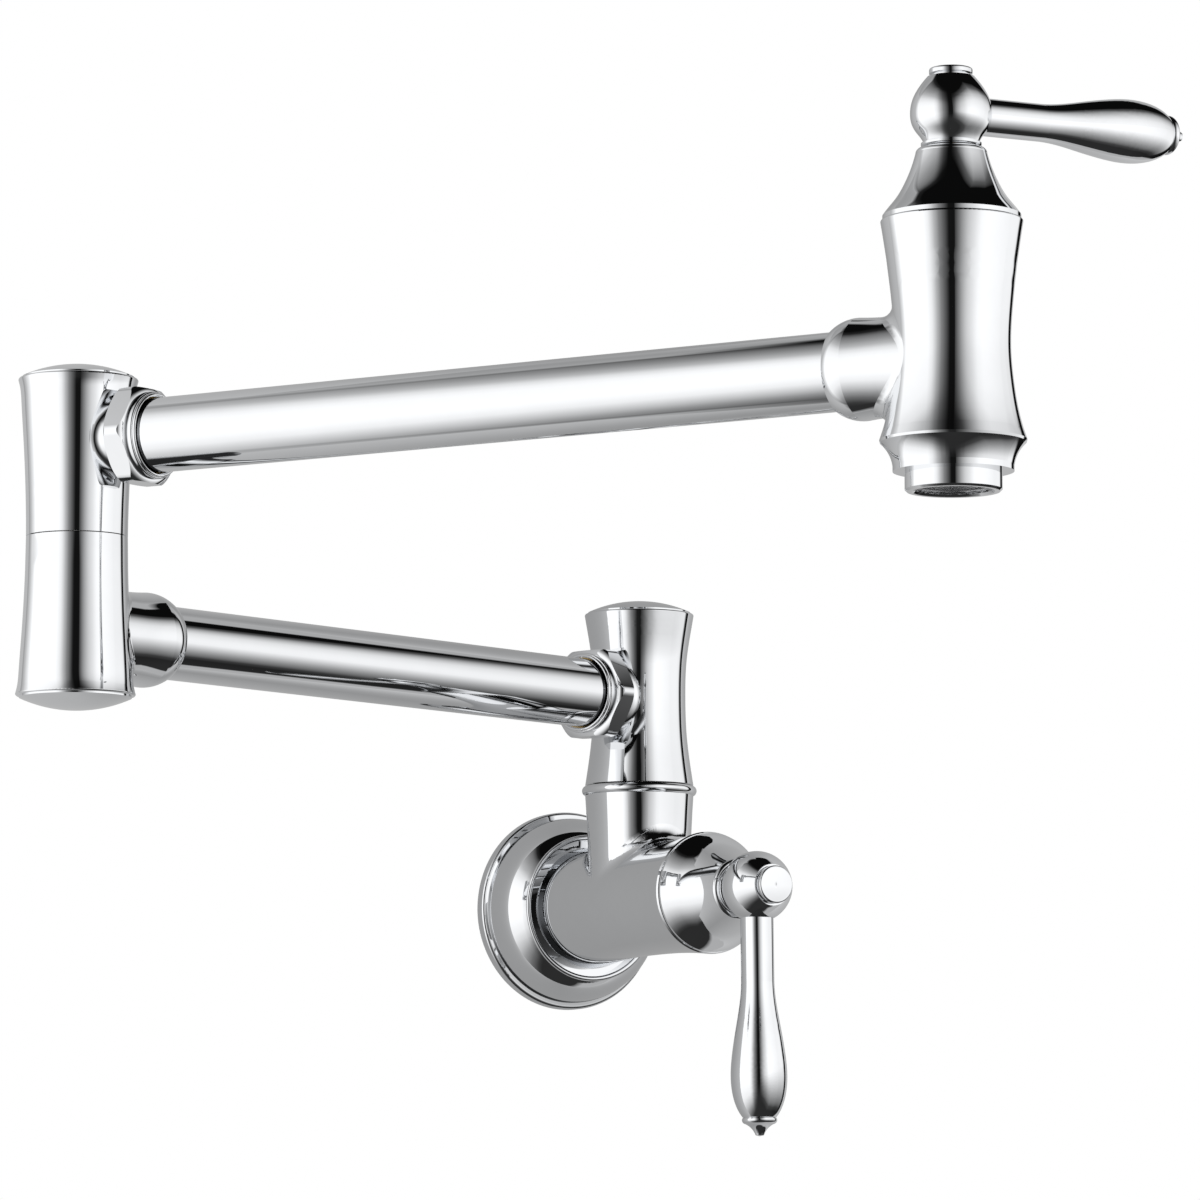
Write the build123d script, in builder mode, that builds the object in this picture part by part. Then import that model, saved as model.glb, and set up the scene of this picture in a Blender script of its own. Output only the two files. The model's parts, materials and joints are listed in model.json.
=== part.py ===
"""Wall mounted pot filler: a wall valve, two swinging arms and a spout with a valve of its own.

Sizes are millimetres and degrees.  The wall is the plane Y = 0, the room lies on the -Y side and
+Z is up.  The origin is the mouth of the threaded inlet, on the axis of the wall valve.  Water goes
in at the wall, up a hollow swivel spindle, along the lower arm, up the elbow spindle, along the
upper arm, through the spout valve and out of the aerator.
"""
import os
from math import cos, radians, sin, sqrt

from build123d import *

os.makedirs("parts", exist_ok=True)

# ---- layout: where the columns stand and how the arms are turned ----
wall_to_column = 52.6         # wall face to the axis of the wall column
lower_arm_height = 65.8       # inlet axis to the lower arm's axis
lower_arm_reach = 256.1       # wall column axis to elbow axis
upper_arm_reach = 293.7       # elbow axis to spout axis
lower_arm_turn = 200.8        # heading of the lower arm, turned from +X
upper_arm_turn = -60.2        # heading of the upper arm, turned from +X
spout_lever_turn = 3.2        # heading of the spout lever, turned from +X

# ---- arms ----
tube_radius = 11.0
tube_wall = 1.2
port_radius = 6.4             # waterway through nozzles and sockets
neck_radius = 8.8             # nozzle between column and union nut
nozzle_radius = 12.0          # threaded end of the nozzle
nozzle_back = 19.4            # column axis to the back of the union nut
nozzle_thread = 3.4
nozzle_fillet = 4.0
washer_thickness = 1.4
ferrule_thickness = 1.4
nut_flats = 27.8
nut_corner_rounding = 3.0
nut_hex_length = 7.4
nut_shoulder = 2.4            # rounded shoulder at either end of the hexagon
nut_face_radius = 12.9        # flat left inside the back shoulder
nut_lip_radius = 12.9
nut_lip_length = 2.8
nut_lip_step = 0.5
nut_thread_clearance = 0.05
tube_gap = 0.35               # nut lip bore over the tube
collar_root_radius = 13.7     # ball collar where it leaves the column
collar_radius = 14.2
collar_mouth_radius = 12.3
collar_reach = 34.2           # column axis to the collar's mouth
socket_floor = 20.0           # column axis to the end of the tube in its collar
elbow_collar_fillet = 2.0
spout_collar_fillet = 4.0

# ---- swivel columns ----
waist_radius = 15.0
rim_radius = 17.7
rim_rounding = 0.6
elbow_rim_height = 47.0       # foot of an elbow half to its rim
wall_rim_height = 55.9        # foot of the wall column to its rim
wall_foot_radius = 17.55
port_height = 0.596 * elbow_rim_height    # foot of a column to the arm's axis
joint_gap = 0.3               # between the two elbow halves, and over the bearing ring
cap_radius = 16.6
cap_lip = 0.5
cap_height = 4.1
cap_spigot = 2.2
cap_room = 4.5                # rim of an elbow half to the bearing below it
recess_radius = 13.45         # cap recess in a column
chamber_radius = 11.2
chamber_half_height = 9.5     # water chamber, either side of the arm's axis

# ---- swivel spindle ----
spindle_radius = 9.55
running_clearance = 0.05      # radial, spindle in its bearings
spigot_radius = 8.5
spigot_length = 10.0
spindle_bore_radius = 5.0
spindle_relief_radius = 8.6
cross_hole_radius = 3.4
flange_radius = 12.45
flange_thickness = 1.7
wear_washer_thickness = 1.6
wear_washer_clearance = 0.1
seal_section_radius = 0.85
clip_thickness = 1.0
clip_radius = 11.3
clip_groove_depth = 1.3
clip_opening = 5.0
spindle_head = 0.7            # spindle above its clip

# ---- wall valve ----
inlet_radius = 9.2            # half-inch pipe thread, drawn as its bore
inlet_depth = 16.0
barrel_back_radius = 15.5
barrel_base_radius = 19.9     # where the barrel leaves the wall flange
barrel_base = 20.1            # wall face to that place
barrel_waist_radius = 17.7
valve_rim_radius = 19.43      # front rim of the wall valve and top rim of the spout
barrel_length = 99.3          # wall face to the front rim
column_neck_radius = 17.55    # neck under the bearing ring
column_neck_root_radius = 16.6
column_neck_waist_radius = 16.8
column_neck_waist = 20.0      # inlet axis to the neck's slimmest place
column_neck_fillet = 6.0
column_chamber_floor = 15.0   # inlet axis to the floor of the water chamber in the neck
column_chamber_point = 2.0    # drill point below that floor
column_waterway_radius = 3.6
column_waterway_start = 17.0  # inlet axis to where the slanting waterway begins
column_waterway_run = 18.7
column_waterway_drop = 5.0
column_waterway_length = 26.0
barrel_rim_rounding = 0.5
barrel_rim_step = 0.4
inlet_step = 1.7              # stop behind the inlet thread
bearing_ring_height = 3.1
bearing_ring_radius = 18.6

# ---- wall flange ----
flange_plate_radius = 32.6
flange_plate_height = 20.5
flange_plate_wall = 2.4
gasket_thickness = 1.0

# ---- quarter-turn valves: heights are from the rim of the valve ----
valve_bore_radius = 12.5
valve_bore_depth = 28.0
bonnet_thread = 7.0
bonnet_foot_radius = 18.9
bonnet_foot = 1.2
bonnet_height = 19.8
bonnet_top_radius = 9.8
bonnet_shoulder = 1.5
cartridge_radius = 11.6
cartridge_neck_radius = 7.4
cartridge_neck_top = 15.0
cartridge_wall = 2.4
cartridge_roof = 6.0
cartridge_window = 9.0
cartridge_lift = 0.5          # rubber seal below the cartridge
disc_thickness = 3.0
disc_clearance = 0.1
disc_port_radius = 2.7
disc_port_place = 5.3
stem_radius = 4.0
stem_clearance = 0.05
stem_flange_width = 7.0
stem_flange_thickness = 1.9
stem_top = 31.0
stem_seal_section = 0.4
stem_seal_height = -10.0

# ---- handles: heights are from the rim of the valve ----
hub_clearance = 0.3           # hub over the bonnet
hub_ring_radius = 8.3
hub_ring = 1.0
hub_neck_radius = 7.65
hub_ball_radius = 11.2
hub_ball_height = 29.3
hub_top = 39.5
hub_top_radius = 6.5
hub_web = 2.0
button_radius = 5.95
button_height = 2.6
button_spigot_radius = 4.5
button_spigot = 2.0
screw_head_radius = 3.9
screw_head_height = 3.0
screw_radius = 2.0
screw_length = 9.0
screw_socket = 3.0
lever_rise = 1.2              # degrees that the lever leans out
lever_seat = 9.8              # ball centre to the lever's shoulder
lever_shank_radius = 3.0
lever_shank = 4.3
lever_shaft_radius = 5.2
lever_shaft = 30.0
lever_bulb_radius = 8.85
lever_bulb_place = 59.5
lever_end_radius = 5.3
lever_end = 72.2
lever_bead_radius = 5.5
lever_bead = 1.9
lever_tip_radius = 1.6
lever_length = 78.0

# ---- spout: heights are from the upper arm's axis ----
spout_top = 38.8
spout_waist_radius = 15.85
spout_waist = 3.5
bell_radius = 20.07
bell_edge = -21.6
bell_lip = 0.7
bell_lip_step = 0.2
bell_cove = 7.0               # bell's edge to where the outlet's neck begins
bell_cove_radius = 17.6       # half-way round the cove between them
bell_cove_middle = 3.6
outlet_neck_radius = 16.5
outlet_face = -30.2
outlet_shoulder = -20.0
outlet_chamber_radius = 9.5
outlet_chamber_top = -11.5
bypass_radius = 1.9
bypass_place = 12.0

# ---- aerator ----
aerator_radius = 13.25
aerator_height = 5.5
aerator_thread_radius = 12.6
aerator_washer = 1.5
aerator_bore_radius = 11.0
aerator_mouth_radius = 10.6
aerator_lip = 1.5
aerator_edge = 0.6
insert_height = 8.5
insert_wall = 1.5
screen_thickness = 0.4
screen_lift = 1.0

# ---- places worked out from those sizes ----
up = Vector(0, 0, 1)
out_of_wall = Vector(0, -1, 0)
bearing_radius = spindle_radius + running_clearance
spindle_seat = wear_washer_clearance + wear_washer_thickness + flange_thickness
web_bottom = port_height + chamber_half_height
web_top = elbow_rim_height - cap_room


def heading(turn):
    """Level unit vector turned from +X about the vertical."""
    return Vector(cos(radians(turn)), sin(radians(turn)), 0)


lower_arm = heading(lower_arm_turn)
upper_arm = heading(upper_arm_turn)
wall_foot = Vector(0, -wall_to_column, lower_arm_height - port_height)
wall_port = wall_foot + up * port_height
elbow_low_port = wall_port + lower_arm * lower_arm_reach
elbow_low_foot = elbow_low_port + up * port_height
elbow_high_foot = elbow_low_foot + up * joint_gap
elbow_high_port = elbow_high_foot + up * port_height
spout_centre = elbow_high_port + upper_arm * upper_arm_reach


def turning_plane(origin, axis, out):
    """Plane of a turned outline: local X is the radius and local Y runs along the axis."""
    return Plane(origin=origin, x_dir=out, z_dir=out.cross(axis))


def turning_axis(plane):
    return Axis(plane.origin, plane.y_dir)


def square_plane(plane, height=0.0):
    """Plane square to a turning axis, at a height along it."""
    origin = plane.origin + plane.y_dir * height
    return Plane(origin=origin, x_dir=plane.x_dir, z_dir=plane.y_dir)


def dome_radius(span, rise):
    """Signed radius of a shallow dome whose crown lies on the turning axis."""
    return -(span ** 2 + rise ** 2) / (2 * rise)


def between(start, end, shares):
    """Outline points from one (radius, height) to another, at shares of the way in height and radius."""
    (radius, low), (end_radius, high) = start, end
    return [(radius + (end_radius - radius) * across, low + (high - low) * along)
            for along, across in shares]


def keep(piece, name):
    piece.part.label = name
    export_step(piece.part, f"parts/{name}.step")


def turned(name, plane, outline):
    """A piece turned from one closed outline of straight lines."""
    with BuildPart() as piece:
        with BuildSketch(plane):
            with BuildLine():
                Polyline(*outline, close=True)
            make_face()
        revolve(axis=turning_axis(plane))
    keep(piece, name)


def ring(name, plane, low, high, inner, outer):
    turned(name, plane, [(inner, low), (outer, low), (outer, high), (inner, high)])


# ------------------------------------------------------------------ wall flange and wall valve

wall_plane = turning_plane(Vector(0, 0, 0), out_of_wall, Vector(1, 0, 0))


def wall_flange():
    """Domed flange that hides the hole in the wall, hollow behind, with a beaded throat."""
    rim = flange_plate_radius
    top = flange_plate_height
    back = rim - flange_plate_wall
    throat = barrel_base_radius + 2.5
    with BuildPart() as flange:
        with BuildSketch(wall_plane):
            with BuildLine():
                Polyline((back, gasket_thickness), (rim - 0.6, gasket_thickness),
                         (rim, gasket_thickness + 0.6), (rim, 3.8))
                ThreePointArc((rim, 3.8), (rim - 0.35, 4.7), (rim - 1.2, 5.05))
                Line((rim - 1.2, 5.05), (rim - 2.1, 5.2))
                ThreePointArc((rim - 2.1, 5.2), (rim - 4.2, top - 6.3), (throat + 1.7, top - 0.8))
                ThreePointArc((throat + 1.7, top - 0.8), (throat + 0.85, top), (throat, top - 0.8))
                Polyline((throat, top - 0.8), (throat, top - 3.5), (barrel_base_radius, top - 3.5),
                         (barrel_base_radius, top - 6.5), (throat - 0.4, top - 6.5),
                         (rim - 6.4, top - 7.9), (rim - 4.4, 6.0), (back, 3.8),
                         (back, gasket_thickness))
            make_face()
        revolve(axis=turning_axis(wall_plane))
    keep(flange, "wall_flange")


def wall_valve_body():
    """Barrel lying square to the wall, with the neck of the swivel column standing on it."""
    neck_plane = turning_plane(Vector(0, -wall_to_column, 0), up, Vector(1, 0, 0))
    neck_top = wall_foot.Z - spindle_seat
    chamber_floor = barrel_length - valve_bore_depth
    rim_low = barrel_length - barrel_rim_rounding
    waist = (barrel_waist_radius, 0.6 * barrel_length)
    base_taper = ((0, 0), (0.45, 0.8))
    rim_taper = ((0, 0), (0.6, 0.3), (1, 1))
    with BuildPart() as body:
        with BuildSketch(wall_plane):
            with BuildLine():
                Polyline((0, 0), (barrel_back_radius, 0), (barrel_back_radius, barrel_base / 4),
                         (barrel_base_radius, barrel_base / 2), (barrel_base_radius, barrel_base))
                Spline(*between((barrel_base_radius, barrel_base), waist, base_taper),
                       *between(waist, (valve_rim_radius, rim_low), rim_taper))
                Polyline((valve_rim_radius, rim_low), (valve_rim_radius - barrel_rim_step, barrel_length),
                         (0, barrel_length), (0, 0))
            make_face()
        revolve(axis=turning_axis(wall_plane))
        with BuildSketch(neck_plane):
            with BuildLine():
                Polyline((column_neck_radius, neck_top), (0, neck_top), (0, 0),
                         (column_neck_root_radius, 0))
                ThreePointArc((column_neck_root_radius, 0),
                              (column_neck_waist_radius, column_neck_waist),
                              (column_neck_radius, neck_top))
            make_face()
        revolve(axis=turning_axis(neck_plane))
        fillet(body.edges(Select.NEW), column_neck_fillet)
        with BuildSketch(wall_plane):
            with BuildLine():
                Polyline((0, 0), (inlet_radius, 0), (inlet_radius, inlet_depth),
                         (inlet_radius - inlet_step, inlet_depth + inlet_step),
                         (inlet_radius - inlet_step, chamber_floor),
                         (valve_bore_radius, chamber_floor), (valve_bore_radius, barrel_length),
                         (0, barrel_length), close=True)
            make_face()
        revolve(axis=turning_axis(wall_plane), mode=Mode.SUBTRACT)
        with BuildSketch(neck_plane):
            with BuildLine():
                Polyline((0, neck_top), (spigot_radius, neck_top),
                         (spigot_radius, neck_top - spigot_length),
                         (spindle_bore_radius, neck_top - spigot_length),
                         (spindle_bore_radius, column_chamber_floor),
                         (0, column_chamber_floor - column_chamber_point), close=True)
            make_face()
        revolve(axis=turning_axis(neck_plane), mode=Mode.SUBTRACT)
        waterway = Plane(origin=(0, -wall_to_column, column_waterway_start),
                         z_dir=(0, -column_waterway_run, -column_waterway_drop))
        with BuildSketch(waterway):
            Circle(column_waterway_radius)
        extrude(amount=column_waterway_length, mode=Mode.SUBTRACT)
    keep(body, "wall_valve_body")


def bearing_ring():
    """Half-round bead that carries the wall column and closes the swivel from the side."""
    plane = turning_plane(wall_foot - up * spindle_seat, up, Vector(1, 0, 0))
    with BuildPart() as bead:
        with BuildSketch(plane):
            with BuildLine():
                Polyline((wall_foot_radius, bearing_ring_height), (flange_radius, bearing_ring_height),
                         (flange_radius, 0), (wall_foot_radius, 0))
                ThreePointArc((wall_foot_radius, 0), (bearing_ring_radius, bearing_ring_height / 2),
                              (wall_foot_radius, bearing_ring_height))
            make_face()
        revolve(axis=turning_axis(plane))
    keep(bead, "wall_bearing_ring")


# ------------------------------------------------------------------ swivels

def swivel(prefix, foot):
    """Hollow spindle, its two seals, clip and wear washer; foot is where the turning column starts."""
    plane = turning_plane(foot, up, Vector(1, 0, 0))
    seal_grooves = (port_height - chamber_half_height - 6.0, (web_bottom + web_top) / 2)
    groove_depth = 2 * seal_section_radius
    clip_low = web_top + 0.1
    clip_high = clip_low + clip_thickness
    head = clip_high + spindle_head
    relief_low = port_height - chamber_half_height
    with BuildPart() as spindle:
        with BuildSketch(plane):
            with BuildLine():
                Polyline((0, -spindle_seat - spigot_length), (spigot_radius, -spindle_seat - spigot_length),
                         (spigot_radius, -spindle_seat), (flange_radius, -spindle_seat),
                         (flange_radius, -spindle_seat + flange_thickness),
                         (spindle_radius, -spindle_seat + flange_thickness),
                         (spindle_radius, relief_low), (spindle_relief_radius, relief_low),
                         (spindle_relief_radius, web_bottom), (spindle_radius, web_bottom),
                         (spindle_radius, clip_low), (spindle_radius - clip_groove_depth, clip_low),
                         (spindle_radius - clip_groove_depth, clip_high), (spindle_radius, clip_high),
                         (spindle_radius, head), (0, head), close=True)
            make_face()
        revolve(axis=turning_axis(plane))
        with BuildSketch(square_plane(plane, -spindle_seat - spigot_length)):
            Circle(spindle_bore_radius)
        extrude(amount=spigot_length + spindle_seat + port_height + cross_hole_radius + 2,
                mode=Mode.SUBTRACT)
        for direction in (plane.x_dir, plane.z_dir):
            with BuildSketch(Plane(origin=foot + up * port_height, z_dir=direction)):
                Circle(cross_hole_radius)
            extrude(amount=spindle_radius, both=True, mode=Mode.SUBTRACT)
        for height in seal_grooves:
            with BuildSketch(square_plane(plane, height - seal_section_radius)):
                Circle(spindle_radius + 1)
                Circle(spindle_radius - groove_depth, mode=Mode.SUBTRACT)
            extrude(amount=groove_depth, mode=Mode.SUBTRACT)
    keep(spindle, f"{prefix}_spindle")

    with BuildPart() as seals:
        for height in seal_grooves:
            with BuildSketch(plane):
                with Locations((spindle_radius - seal_section_radius, height)):
                    RegularPolygon(seal_section_radius, 8)
            revolve(axis=turning_axis(plane))
    keep(seals, f"{prefix}_spindle_seals")

    with BuildPart() as clip:
        with BuildSketch(square_plane(plane, clip_low)):
            Circle(clip_radius)
            Circle(spindle_radius - clip_groove_depth, mode=Mode.SUBTRACT)
            with Locations((clip_radius, 0)):
                Rectangle(2 * clip_radius, clip_opening, mode=Mode.SUBTRACT)
        extrude(amount=clip_thickness)
    keep(clip, f"{prefix}_clip")

    washer_low = -wear_washer_clearance - wear_washer_thickness
    ring(f"{prefix}_wear_washer", plane, washer_low, -wear_washer_clearance, bearing_radius, flange_radius)


def column_cap(name, rim, axis):
    """Shallow dome that closes a column, with a short spigot in its recess."""
    plane = turning_plane(rim, axis, Vector(1, 0, 0))
    with BuildPart() as cap:
        with BuildSketch(plane):
            with BuildLine():
                Polyline((0, cap_height), (0, -cap_spigot), (recess_radius, -cap_spigot),
                         (recess_radius, 0), (cap_radius, 0), (cap_radius, cap_lip))
                RadiusArc((cap_radius, cap_lip), (0, cap_height),
                          dome_radius(cap_radius, cap_height - cap_lip))
            make_face()
        revolve(axis=turning_axis(plane))
    keep(cap, name)


elbow_outside = [(waist_radius + swell, elbow_rim_height * share) for swell, share in
                 ((0, 0), (0.22, 0.255), (0.92, 0.575), (1.75, 0.85), (2.15, 0.94))]
elbow_outside.append((rim_radius, elbow_rim_height - rim_rounding))
wall_outside = [(waist_radius + swell, wall_rim_height * share) for swell, share in
                ((1.5, 0.125), (0.55, 0.265), (0, 0.51), (0.62, 0.76), (1.65, 0.88))]
wall_outside.insert(0, (wall_foot_radius, 0))
wall_outside.append((rim_radius, wall_rim_height - rim_rounding))
spout_outside = [(bell_radius, bell_edge), (18.4, -16.2), (16.5, -5.2), (spout_waist_radius, spout_waist),
                 (16.5, 16.0), (17.95, 28.7), (valve_rim_radius, spout_top - rim_rounding)]


def turned_column(plane, outside, top):
    """Solid of a column: its hourglass side is one smooth curve, and its rim is rounded."""
    rim, shoulder = outside[-1]
    step = top - shoulder
    with BuildPart() as solid:
        with BuildSketch(plane):
            with BuildLine():
                Spline(*outside)
                ThreePointArc((rim, shoulder), (rim - 0.3 * step, top - 0.3 * step), (rim - step, top))
                Polyline((rim - step, top), (0, top), (0, outside[0][1]), outside[0])
            make_face()
        revolve(axis=turning_axis(plane))
    return solid.part


def swivel_column(name, foot, outside, rim, arm):
    """Column that turns on a spindle and feeds the arm through its nozzle."""
    plane = turning_plane(foot, up, -arm)
    port = Plane(origin=foot + up * port_height, x_dir=up, z_dir=arm)
    chamber_low = port_height - chamber_half_height
    solid = turned_column(plane, outside, rim)
    with BuildPart() as column:
        add(solid)
        with BuildSketch(port):
            Circle(neck_radius)
        extrude(amount=nozzle_back)
        fillet(column.edges(Select.NEW), nozzle_fillet)
        with BuildSketch(port.offset(nozzle_back)):
            Circle(nozzle_radius)
        extrude(amount=nozzle_thread)
        with BuildSketch(plane):
            with BuildLine():
                Polyline((0, 0), (bearing_radius, 0), (bearing_radius, chamber_low),
                         (chamber_radius, chamber_low), (chamber_radius, web_bottom),
                         (bearing_radius, web_bottom), (bearing_radius, web_top),
                         (recess_radius, web_top), (recess_radius, rim), (0, rim), close=True)
            make_face()
        revolve(axis=turning_axis(plane), mode=Mode.SUBTRACT)
        with BuildSketch(port):
            Circle(port_radius)
        extrude(amount=nozzle_back + nozzle_thread, mode=Mode.SUBTRACT)
    keep(column, name)


def ball_collar(centre, arm):
    """Collar that the tube ends in, standing on the side of a column."""
    plane = turning_plane(centre, arm, up)
    with BuildPart() as solid:
        with BuildSketch(plane):
            with BuildLine():
                Polyline((collar_mouth_radius, collar_reach), (0, collar_reach), (0, 0),
                         (collar_root_radius, 0), (collar_root_radius, collar_reach / 2))
                ThreePointArc((collar_root_radius, collar_reach / 2),
                              (collar_root_radius + 0.1, collar_reach - 12.0),
                              (collar_radius, collar_reach - 6.5))
                ThreePointArc((collar_radius, collar_reach - 6.5),
                              (collar_radius - 0.55, collar_reach - 2.8),
                              (collar_mouth_radius, collar_reach))
            make_face()
        revolve(axis=turning_axis(plane))
    return solid.part


def collar_socket(centre, arm):
    """Waterway and tube socket to be bored through a ball collar."""
    socket = Plane(origin=centre, x_dir=up, z_dir=arm)
    with BuildPart() as bore:
        with BuildSketch(socket):
            Circle(port_radius)
        extrude(amount=socket_floor)
        with BuildSketch(socket.offset(socket_floor)):
            Circle(tube_radius)
        extrude(amount=collar_reach - socket_floor)
    return bore.part


def elbow_lower_half():
    """Lower half of the elbow: holds the spindle and ends the lower arm."""
    plane = turning_plane(elbow_low_foot, -up, lower_arm)
    seat = spindle_seat - joint_gap
    port_depth = elbow_low_foot.Z - elbow_low_port.Z
    solid = turned_column(plane, elbow_outside, elbow_rim_height)
    collar = ball_collar(elbow_low_port, -lower_arm)
    socket = collar_socket(elbow_low_port, -lower_arm)
    with BuildPart() as half:
        add(solid)
        add(collar)
        fillet(half.edges(Select.NEW), elbow_collar_fillet)
        with BuildSketch(plane):
            with BuildLine():
                Polyline((0, 0), (flange_radius, 0), (flange_radius, seat), (spigot_radius, seat),
                         (spigot_radius, seat + spigot_length),
                         (spindle_bore_radius, seat + spigot_length),
                         (spindle_bore_radius, port_depth), (chamber_radius, port_depth),
                         (chamber_radius, elbow_rim_height - cap_spigot),
                         (recess_radius, elbow_rim_height - cap_spigot),
                         (recess_radius, elbow_rim_height), (0, elbow_rim_height), close=True)
            make_face()
        revolve(axis=turning_axis(plane), mode=Mode.SUBTRACT)
        add(socket, mode=Mode.SUBTRACT)
    keep(half, "elbow_lower_half")


# ------------------------------------------------------------------ arms

def arm_union(prefix, port, arm, reach):
    """Union nut, sealing washer, ferrule and the tube they hold, from one column to the next."""
    side = turning_plane(port, arm, up)
    hex_front = nozzle_back + nut_hex_length
    lip_front = hex_front + nut_lip_length
    washer_back = nozzle_back + nozzle_thread
    ferrule_back = washer_back + washer_thickness
    shoulder = ferrule_back + ferrule_thickness
    corner_radius = nut_flats / sqrt(3)
    lip_middle = lip_front - nut_lip_length / 3
    lip_neck = nut_lip_radius - nut_lip_step
    lip_edge = lip_neck - nut_lip_step
    nut_bore = nozzle_radius + nut_thread_clearance
    with BuildPart() as nut:
        with BuildSketch(Plane(origin=port + arm * nozzle_back, x_dir=up.cross(arm), z_dir=arm)):
            RegularPolygon(nut_flats / 2, 6, major_radius=False)
        extrude(amount=nut_hex_length)
        fillet(nut.edges().filter_by(Axis(port, arm)), nut_corner_rounding)
        with BuildSketch(side):
            with BuildLine():
                Line((0, nozzle_back), (nut_face_radius, nozzle_back))
                ThreePointArc((nut_face_radius, nozzle_back), (corner_radius - 1.0, nozzle_back + 0.9),
                              (corner_radius, nozzle_back + nut_shoulder))
                Line((corner_radius, nozzle_back + nut_shoulder), (corner_radius, hex_front - nut_shoulder))
                ThreePointArc((corner_radius, hex_front - nut_shoulder),
                              (corner_radius - 1.0, hex_front - 0.9), (nut_face_radius, hex_front))
                Polyline((nut_face_radius, hex_front), (0, hex_front), (0, nozzle_back))
            make_face()
        revolve(axis=turning_axis(side), mode=Mode.INTERSECT)
        with BuildSketch(side):
            with BuildLine():
                Polyline((lip_edge, lip_front), (0, lip_front), (0, hex_front - 1),
                         (nut_lip_radius, hex_front - 1), (nut_lip_radius, lip_middle - nut_lip_step))
                ThreePointArc((nut_lip_radius, lip_middle - nut_lip_step),
                              (nut_lip_radius - 0.15, lip_middle - 0.15), (lip_neck, lip_middle))
                Line((lip_neck, lip_middle), (lip_neck, lip_front - nut_lip_step))
                ThreePointArc((lip_neck, lip_front - nut_lip_step), (lip_neck - 0.15, lip_front - 0.15),
                              (lip_edge, lip_front))
            make_face()
        revolve(axis=turning_axis(side))
        with BuildSketch(side):
            with BuildLine():
                Polyline((0, nozzle_back), (nut_bore, nozzle_back), (nut_bore, shoulder),
                         (tube_radius + tube_gap, shoulder), (tube_radius + tube_gap, lip_front - 0.4),
                         (tube_radius + tube_gap + 0.4, lip_front), (0, lip_front), close=True)
            make_face()
        revolve(axis=turning_axis(side), mode=Mode.SUBTRACT)
    keep(nut, f"{prefix}_union_nut")

    ring(f"{prefix}_union_washer", side, washer_back, ferrule_back, port_radius, nozzle_radius)
    ring(f"{prefix}_ferrule", side, ferrule_back, shoulder, tube_radius, nozzle_radius)
    ring(f"{prefix}_arm_tube", side, ferrule_back, reach - socket_floor, tube_radius - tube_wall, tube_radius)


# ------------------------------------------------------------------ quarter-turn valves and handles

def bonnet(prefix, plane):
    """Bell that screws into a valve and holds its cartridge down."""
    shoulder = bonnet_height - bonnet_shoulder
    cove = ((0, 0), (0.1, 0.14), (0.28, 0.41), (0.5, 0.65), (0.76, 0.86), (1, 1))
    with BuildPart() as bell:
        with BuildSketch(plane):
            with BuildLine():
                Polyline((cartridge_neck_radius, -bonnet_thread), (valve_bore_radius, -bonnet_thread),
                         (valve_bore_radius, 0), (bonnet_foot_radius, 0), (bonnet_foot_radius, bonnet_foot))
                Spline(*between((bonnet_foot_radius, bonnet_foot), (bonnet_top_radius, shoulder), cove))
                ThreePointArc((bonnet_top_radius, shoulder),
                              (bonnet_top_radius - 0.3 * bonnet_shoulder, bonnet_height - 0.3 * bonnet_shoulder),
                              (bonnet_top_radius - bonnet_shoulder, bonnet_height))
                Polyline((bonnet_top_radius - bonnet_shoulder, bonnet_height),
                         (cartridge_neck_radius, bonnet_height), (cartridge_neck_radius, -bonnet_thread))
            make_face()
        revolve(axis=turning_axis(plane))
    keep(bell, f"{prefix}_bonnet")


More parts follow.
